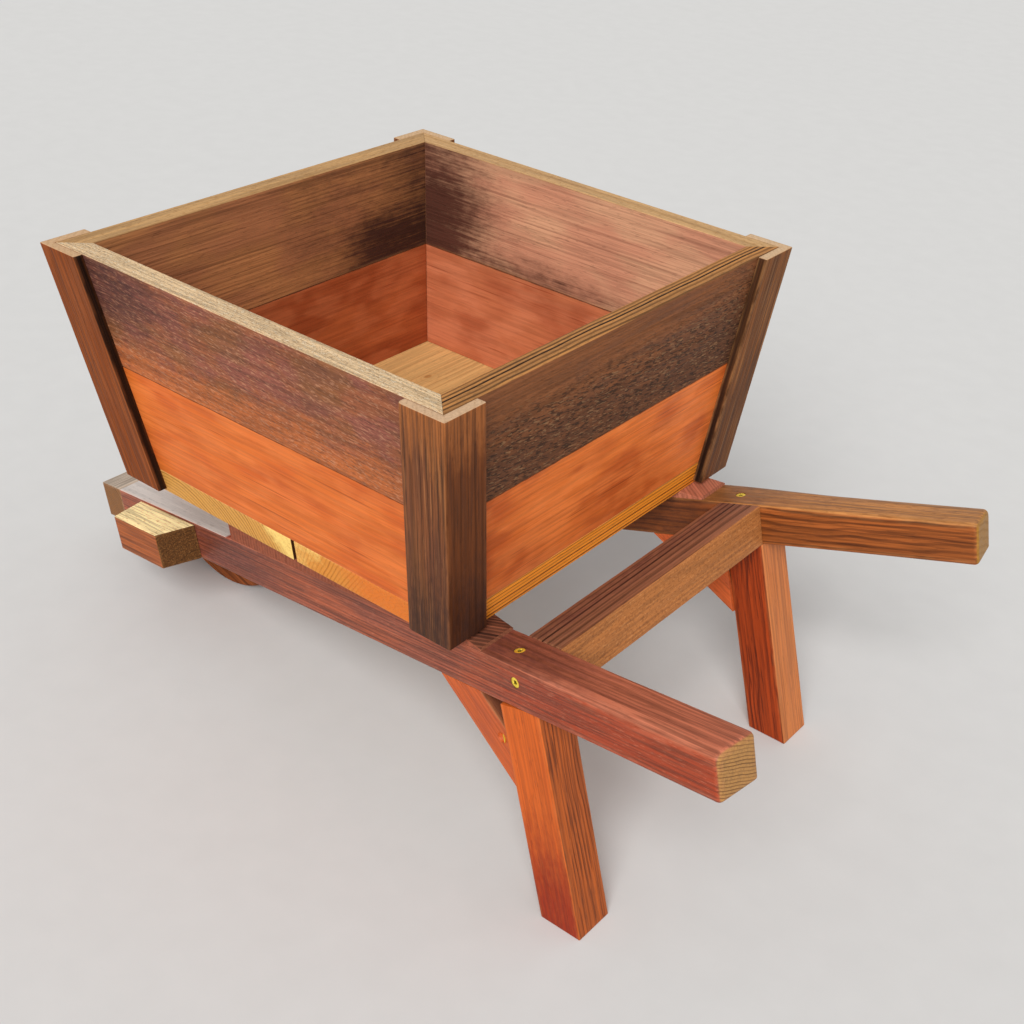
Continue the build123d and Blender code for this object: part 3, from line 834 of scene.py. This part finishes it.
for wall, pith, shift, early, late, blotch in (
        ("left", (10.0, 190.0), 20.0, (214, 110, 45), (186, 80, 30), (198, 89, 36)),
        # The right and front boards are seen from inside the box, and their darker colours are painted shade.
        ("right", (-20.0, 210.0), 260.0, (186, 107, 71), (146, 71, 43), (156, 77, 49)),
        ("front", (10.0, -180.0), 700.0, (169, 87, 47), (127, 55, 28), (131, 56, 28)),
        ("rear", (-15.0, 200.0), 480.0, (231, 122, 53), (181, 76, 28), (174, 71, 28))):
    node = f"{wall}_lower_board"
    lift = [min(255, part + 20) for part in early]
    lower_wood = wood_finish(
        f"{wall}_lower_orange", early, late, rings=(6.5, 0.15, 0.5, 0.8), wave=(8.0, 0.006), fibre=0.06,
        hair=(late, 0.2, 2.4, 0.57), flecks=[((126, 48, 22), 0.5, 0.67, 0.01, 0.4)],
        blotches=[(blotch, 0.6, 0.012, 0.03), (lift, 0.4, 0.022, 0.05)], pore_depth=0.08, stain_and_shade=(70, 30, 16),
        worn=((224, 126, 68), 0.1), surface=(0.42, 0.58, 0.15, 0.15))
    board = timber(node, end_outlines(node, *wall_ways[wall], (0, 0, 1)), pith, shift, end_ease=MITRE_EASE,
                   tone=lower_tone)
    fit(board, lower_wood, node)


# Upper wall boards: rough-sawn boards on top of the lower ones, mitred and leaning with them.
# They have weathered brown, with stains by the far corner and pale sawn top edges.
upper_finishes = {
    "left": wood_finish(
        "left_upper_weathered", (146, 86, 58), (112, 66, 48), rings=(3.0, 0.2, 0.5, 0.8), wave=(4.0, 0.006),
        fibre=0.14, flecks=[((92, 56, 44), 0.45, 0.56, 0.2, 1.0), ((188, 136, 104), 0.45, 0.57, 0.2, 0.95)],
        slant=0.14, blotches=[((132, 78, 72), 0.55, 0.03, 0.05), ((122, 84, 48), 0.45, 0.022, 0.045)],
        cut=((220, 188, 146), (128, 92, 60), 0.1),
        cut_flecks=[((128, 92, 60), 0.65, 0.5, 0.2, 1.1), ((252, 234, 200), 0.6, 0.57, 0.2, 1.1)],
        stain_and_shade=(86, 52, 46), warm=(176, 98, 54), mottled=0.7, worn=((196, 140, 98), 0.15),
        surface=(0.55, 0.78, 0.15, 0.6)),
    "rear": wood_finish(
        "rear_upper_weathered", (137, 84, 50), (90, 56, 36), rings=(4.0, 0.15, 0.42, 0.58), wave=(2.4, 0.011),
        fibre=0.12, flecks=[((46, 32, 24), 0.72, 0.53, 0.15, 0.75), ((150, 114, 80), 0.58, 0.59, 0.16, 0.8)],
        flecked_stain=True, slant=0.14, blotches=[((112, 72, 52), 0.4, 0.02, 0.05)],
        cut=((184, 126, 70), (28, 16, 6), 0.97), cut_flecks=[((120, 84, 44), 0.4, 0.58, 0.1, 0.8)],
        stain_and_shade=(92, 59, 41), worn=((150, 100, 62), 0.15), surface=(0.55, 0.78, 0.15, 0.6)),
    "front": wood_finish(
        "front_upper_weathered", (168, 111, 68), (110, 68, 41), rings=(3.2, 0.35, 0.55, 0.75), wave=(1.0, 0.006),
        fibre=0.1, hair=((88, 53, 32), 0.4, 1.9, 0.56), blotches=[((146, 90, 64), 0.5, 0.012, 0.03)],
        cut=((190, 148, 98), (138, 98, 60), 0.3), cut_flecks=[((150, 104, 58), 0.4, 0.55, 0.2, 0.7)],
        stain_and_shade=(60, 33, 24), mottled=0.3, lined=0.6, worn=((190, 140, 90), 0.15), surface=(0.55, 0.78, 0.15, 0.5)),
    "right": wood_finish(
        "right_upper_weathered", (200, 149, 116), (150, 98, 74), rings=(3.4, 0.3, 0.55, 0.75), wave=(1.0, 0.006),
        fibre=0.1, hair=((136, 86, 66), 0.4, 1.9, 0.57), blotches=[((184, 118, 94), 0.55, 0.012, 0.03)],
        cut=((198, 157, 108), (148, 105, 64), 0.3), cut_flecks=[((150, 104, 60), 0.4, 0.55, 0.2, 0.7)],
        stain_and_shade=(78, 44, 33), mottled=0.35, lined=0.55, worn=((200, 150, 100), 0.15), surface=(0.55, 0.78, 0.15, 0.5)),
}


def left_band_and_trim_shadow(p):
    """Warm in an uneven band at the foot, with a painted shadow of the front trim above it."""
    reach = 372.0 + 14.0 * noise.noise((p[0] / 24.0, 3.1, 0.0))
    glow = fall(p[2], 320.0, reach)
    shadow = rise(p[0], 10.0, 190.0) * rise(p[2], 330.0, 370.0)
    return 0.8 * glow - 0.85 * shadow


def rear_stain(p):
    """Grey and flecked in the lower half, more so on the right."""
    lower = fall(p[2], 345.0, 402.0)
    return -0.65 * lower - 0.25 * rise(-p[1], 40.0, 190.0)


def front_stain(p):
    """Damp from the foot up, on the right half of the inner face."""
    low = rise(-p[1], 5.0, 120.0) * fall(p[2], 330.0, 398.0)
    far = 0.35 * rise(-p[1], -60.0, 40.0) + 0.3 * rise(-p[1], 100.0, 172.0)
    return -max(low, far)


def right_stain(p):
    """Damp by the front corner and thinly along the foot of the inner face."""
    corner = rise(p[0], 62.0, 178.0) * (1 - 0.4 * rise(p[2], 350.0, 405.0))
    foot = fall(p[2], 318.0, 354.0) * rise(p[0], -150.0, 60.0)
    return -max(1.1 * corner, 0.6 * foot)


def upper_tone(stain_and_shade, face):
    """The tone of an upper board: its stains on one face, with a painted shadow on the left board, and dirt along
    the joint with the lower board.
    """
    def tone(p, side):
        if p[2] < SEAM + 0.6:
            return -0.9
        return stain_and_shade(p) if abs(side - face) < 0.5 else 0.0
    return tone


OUTER_FACE, INNER_FACE = 1, 3
for wall, pith, shift, tone, grain in (
        ("left", (20.0, 95.0), 1120.0, upper_tone(left_band_and_trim_shadow, OUTER_FACE), None),
        ("right", (-30.0, 95.0), 1360.0, upper_tone(right_stain, INNER_FACE), None),
        ("front", (10.0, -90.0), 1800.0, upper_tone(front_stain, INNER_FACE), None),
        ("rear", (153.0, 20.0), 1580.0, upper_tone(rear_stain, OUTER_FACE), (0.014, 1.0, 0.0))):
    node = f"{wall}_upper_board"
    board = timber(node, end_outlines(node, *wall_ways[wall], (0, 0, 1)), pith, shift, along=grain,
                   end_ease=MITRE_EASE, sides=(0, 0, 1, 0), tone=tone, step=9.0)
    fit(board, upper_finishes[wall], node)


# Corner trims: L-shaped lengths glued over the mitres, leaning with the corners of the box.
# The free edges are square and a little worn, and the tops show pale end grain.
WORN_EDGE = 4.0
TRIM_EDGE = 1.2
trim_finishes = {
    "rear_left": wood_finish(
        "dark_lined_trim", (121, 71, 41), (60, 33, 20), rings=(4.4, 0.15, 0.6, 0.8), wave=(1.4, 0.004), fibre=0.16,
        hair=((42, 23, 15), 0.65, 1.0, 0.53), flecks=[((166, 110, 66), 0.35, 0.61, 0.02, 0.8)],
        blotches=[((96, 58, 42), 0.5, 0.01, 0.05), ((140, 90, 44), 0.3, 0.008, 0.04)],
        cut=((107, 57, 25), (52, 28, 13), 0.3), stain_and_shade=(58, 36, 29), warm=(152, 90, 46), mottled=0.35, lined=0.5,
        ends=((208, 172, 136), (190, 150, 112), 0.3), worn=((158, 98, 56), 0.25), surface=(0.5, 0.72, 0.15, 0.5)),
    # The near-black colours of its free edges are dark brown wood darkened further as painted shade.
    "front_left": wood_finish(
        "orange_brown_trim", (132, 64, 19), (91, 43, 16), rings=(4.4, 0.2, 0.5, 0.8), wave=(1.4, 0.004), fibre=0.14,
        hair=((80, 38, 16), 0.5, 1.1, 0.54),
        blotches=[((100, 50, 26), 0.6, 0.01, 0.05), ((166, 88, 36), 0.4, 0.01, 0.05)],
        cut=((32, 15, 6), (20, 9, 4), 0.6), ends=((204, 166, 126), (176, 134, 92), 0.3), worn=((160, 90, 46), 0.2)),
    # Its dark colour lays painted shade towards the foot of the rear leg's free edge.
    "rear_right": wood_finish(
        "streaked_trim", (129, 78, 39), (68, 38, 19), rings=(3.6, 0.3, 0.5, 0.8), wave=(1.4, 0.004), fibre=0.16,
        hair=((52, 29, 14), 0.65, 1.1, 0.53), flecks=[((180, 128, 78), 0.45, 0.59, 0.01, 0.8)],
        blotches=[((94, 58, 36), 0.5, 0.01, 0.05)], cut=((72, 42, 22), (40, 22, 12), 0.6), stain_and_shade=(30, 16, 10),
        mottled=0.3, ends=((208, 174, 136), (188, 150, 112), 0.3), worn=((180, 126, 78), 0.4),
        surface=(0.5, 0.72, 0.15, 0.5)),
    "front_right": wood_finish(
        "brown_trim", (134, 82, 46), (80, 46, 26), rings=(3.6, 0.3, 0.5, 0.8), wave=(1.4, 0.004), fibre=0.16,
        hair=((60, 34, 20), 0.6, 1.1, 0.53), blotches=[((104, 62, 38), 0.5, 0.01, 0.05)],
        ends=((206, 170, 130), (182, 142, 102), 0.3), worn=((176, 118, 74), 0.25), surface=(0.5, 0.72, 0.15, 0.45)),
}


def near_trim_tone(p, side):
    """Warm at the top and grey towards the foot."""
    top = rise(p[2], 340.0, 410.0)
    grey = fall(p[2], 215.0, 330.0)
    return 0.75 * top - 0.7 * grey


def far_trim_tone(p, side):
    """Darker towards the foot of the rear leg's free edge: painted shade."""
    return -0.8 * fall(p[2], 220.0, 360.0) if 4.0 <= side < 5.0 else 0.0


def trim_outlines(node, in_x, in_y):
    """The L-shaped outlines of a trim at its foot and its top, from the outer corner round."""
    points = node_points(node)
    outlines = []
    for height in (points[:, 2].min(), points[:, 2].max()):
        ring = points[np.abs(points[:, 2] - height) < 0.05]
        x, y = ring[:, 0] * in_x, ring[:, 1] * in_y
        thick_y = y[x > x.max() - 0.05].max()
        thick_x = x[y > y.max() - 0.05].max()
        flat = [(x.min(), y.min()), (x.max(), y.min()), (x.max(), thick_y),
                (thick_x, thick_y), (thick_x, y.max()), (x.min(), y.max())]
        outlines.append(np.array([(a * in_x, b * in_y, height) for a, b in flat]))
    return outlines


edges_cut = (0, 1, 0, 0, 1, 0)
for corner, shift, free_edge, sides, tone in (
        ("rear_left", 33.0, WORN_EDGE, (0, 0, 0, 0, 0, 1), near_trim_tone),
        ("front_left", 250.0, TRIM_EDGE, edges_cut, None),
        ("rear_right", 610.0, TRIM_EDGE, edges_cut, far_trim_tone),
        ("front_right", 870.0, TRIM_EDGE, None, None)):
    end, hand = corner.split("_")
    node = f"{corner}_corner_trim"
    outlines = trim_outlines(node, -1.0 if end == "front" else 1.0, -1.0 if hand == "left" else 1.0)
    trim = timber(node, outlines, (70.0, 60.0), shift, ease=(TRIM_EDGE, free_edge, 0.5, 0.3, 0.5, TRIM_EDGE),
                  sides=sides, tone=tone)
    fit(trim, trim_finishes[corner], node)


# Screws: yellow brass countersunk wood screws with a star recess and a rolled thread.
# Each group of like screws is one piece. The heads sit just under the wood, except on the braces.
HEAD_RADIUS = 4.08
FLAT_RADIUS = 3.8
SHANK_RADIUS = 2.05
ROOT_RADIUS = 1.5
RECESS_FLOOR = -2.1
THREAD_FROM = 0.35
THREAD_PITCH = 2.4
POINT_LENGTH = 5.0
SCREW_SIDES = 24
# Its last colour is painted shade in the star recesses.
brass = bright_metal("yellow_brass", (255, 228, 80), (240, 186, 50), (900.0,) * 3, (0.32, 0.5), 0.6, (116, 96, 18))
screw_turns = np.linspace(0, 2 * math.pi, SCREW_SIDES, endpoint=False)
star = 1.8 + 0.32 * np.cos(6 * screw_turns)


def screw_rings(length):
    """Rings down a wood screw from its recess to its point, each with its recess share."""
    even = np.ones(SCREW_SIDES)
    depth = THREAD_FROM * length
    rings = [(0.86 * star, -1.8, 1.0), (0.98 * star, -0.16, 0.8), (1.07 * star, 0.0, 0.0)]
    rings += [(FLAT_RADIUS * even, 0.0, 0.0), (HEAD_RADIUS * even, -0.16, 0.0)]
    rings += [(SHANK_RADIUS * even, -2.2, 0.0), (SHANK_RADIUS * even, -depth, 0.0)]
    depth += THREAD_PITCH / 3
    while depth < length - 0.4:
        lead = (depth / THREAD_PITCH + screw_turns / (2 * math.pi)) % 1.0
        crest = 1 - np.minimum(np.abs(lead - 0.5) / 0.32, 1.0)
        taper = min(1.0, (length - depth) / POINT_LENGTH)
        rings.append((taper * (ROOT_RADIUS + (SHANK_RADIUS - ROOT_RADIUS) * crest), -depth, 0.0))
        depth += THREAD_PITCH / 3
    return rings


for work in ("rail_top", "rail_side", "crosspiece", "wedge", "block", "brace", "wheel"):
    group = f"{work}_screws"
    places, faces, recess = [], [], []
    for head, axis, length in screw_seats(group):
        seat = seat_frame(head, axis)
        rings = screw_rings(length * METRE)
        base = len(places)
        places.append(seat @ Vector((0.0, 0.0, RECESS_FLOOR / METRE)))
        recess.append(1.0)
        for radii, height, share in rings:
            places += turned_ring(seat, radii, height, SCREW_SIDES)
            recess += [share] * SCREW_SIDES
        places.append(seat @ Vector((0.0, 0.0, -length)))
        recess.append(0.0)
        point = len(places) - 1
        for i in range(SCREW_SIDES):
            j = (i + 1) % SCREW_SIDES
            faces.append((base, base + 1 + i, base + 1 + j))
            for r in range(len(rings) - 1):
                low = base + 1 + SCREW_SIDES * r
                faces.append((low + i, low + SCREW_SIDES + i, low + SCREW_SIDES + j, low + j))
            faces.append((point - SCREW_SIDES + i, point, point - SCREW_SIDES + j))
    mesh = bpy.data.meshes.new(group + "_brass")
    mesh.from_pydata(places, [], faces)
    lay(mesh, "recess", recess)
    smooth_arrises(mesh)
    fit(set_out(group + "_brass", mesh), brass, group, "wheel" if work == "wheel" else "frame")


# Studio: a wide pale floor, one far lamp with a broad soft disc at the left rear, and an even pale surround.
# The camera stands where the photograph was taken.
FLOOR_REACH = 40.0
LAMP_DISC = math.radians(33.4)
LAMP_POWER = 2.67
SURROUND_LIGHT = 0.47
floor_mesh = bpy.data.meshes.new("studio_floor")
floor_corners = [(FLOOR_REACH * x, FLOOR_REACH * y, 0) for x, y in ((-1, -1), (1, -1), (1, 1), (-1, 1))]
floor_mesh.from_pydata(floor_corners, [], [(0, 1, 2, 3)])
studio_floor = set_out("studio_floor", floor_mesh)
pale_floor = bpy.data.materials.new("pale_floor")
add, *_, blend = node_makers(pale_floor)
speckle = add("TexNoise", {"Vector": add("TexCoord", {}, out=3), "Scale": 30.0, "Detail": 3.0})
floor_tint = blend(speckle, (214, 213, 211), (220, 219, 217))
matt = add("BsdfPrincipled", {"Base Color": floor_tint, "Roughness": 0.85, "Specular IOR Level": 0.0})
add("OutputMaterial", {0: matt})
floor_mesh.materials.append(pale_floor)

world = bpy.data.worlds.new("surround")
bpy.context.scene.world = world
add, calc, *_ = node_makers(world)
rays = add("LightPath", {}).node.outputs
mirrored = calc("MAXIMUM", rays["Is Glossy Ray"], rays["Is Transmission Ray"])
looked_at = calc("MAXIMUM", rays["Is Camera Ray"], mirrored)
lit = add("Background", {"Color": (1.0, 1.0, 1.0, 1.0), "Strength": SURROUND_LIGHT})
seen = add("Background", {"Color": shade(222, 221, 219), "Strength": 1.0})
add("OutputWorld", {0: add("MixShader", {0: looked_at, 1: lit, 2: seen})})

lamp_data = bpy.data.lights.new("soft_lamp", "SUN")
lamp_data.angle = LAMP_DISC
lamp_data.energy = LAMP_POWER
lamp = set_out("soft_lamp", lamp_data)
lamp_aim = Vector((0.0, 0.0, 0.25))
lamp.location = lamp_aim + Vector((-0.35, 0.70, 0.62)).normalized() * 5.0
lamp.rotation_euler = (lamp_aim - lamp.location).to_track_quat("-Z", "Y").to_euler()

PICTURE = 1024.0
FOCUS = 1480.27
MIDDLE = 560.0
STAND = Vector((-0.69360, 0.80713, 0.83374))
YAW, PITCH, ROLL = -0.9498, -0.5500, 0.0765
sight = Vector((math.cos(PITCH) * math.cos(YAW), math.cos(PITCH) * math.sin(YAW), math.sin(PITCH)))
level = Vector((math.sin(YAW), -math.cos(YAW), 0.0))
above = level.cross(sight)
right = level * math.cos(ROLL) + above * math.sin(ROLL)
upward = above * math.cos(ROLL) - level * math.sin(ROLL)
lens = bpy.data.cameras.new("camera")
lens.sensor_width = 36.0
lens.lens = FOCUS / PICTURE * lens.sensor_width
lens.shift_x = (PICTURE / 2 - MIDDLE) / PICTURE
lens.clip_start = 0.05
lens.clip_end = 60.0
camera = set_out("camera", lens)
camera.matrix_world = Matrix((right, upward, -sight)).transposed().to_4x4()
camera.location = STAND
bpy.context.scene.camera = camera
bpy.context.scene.view_settings.view_transform = "Standard"
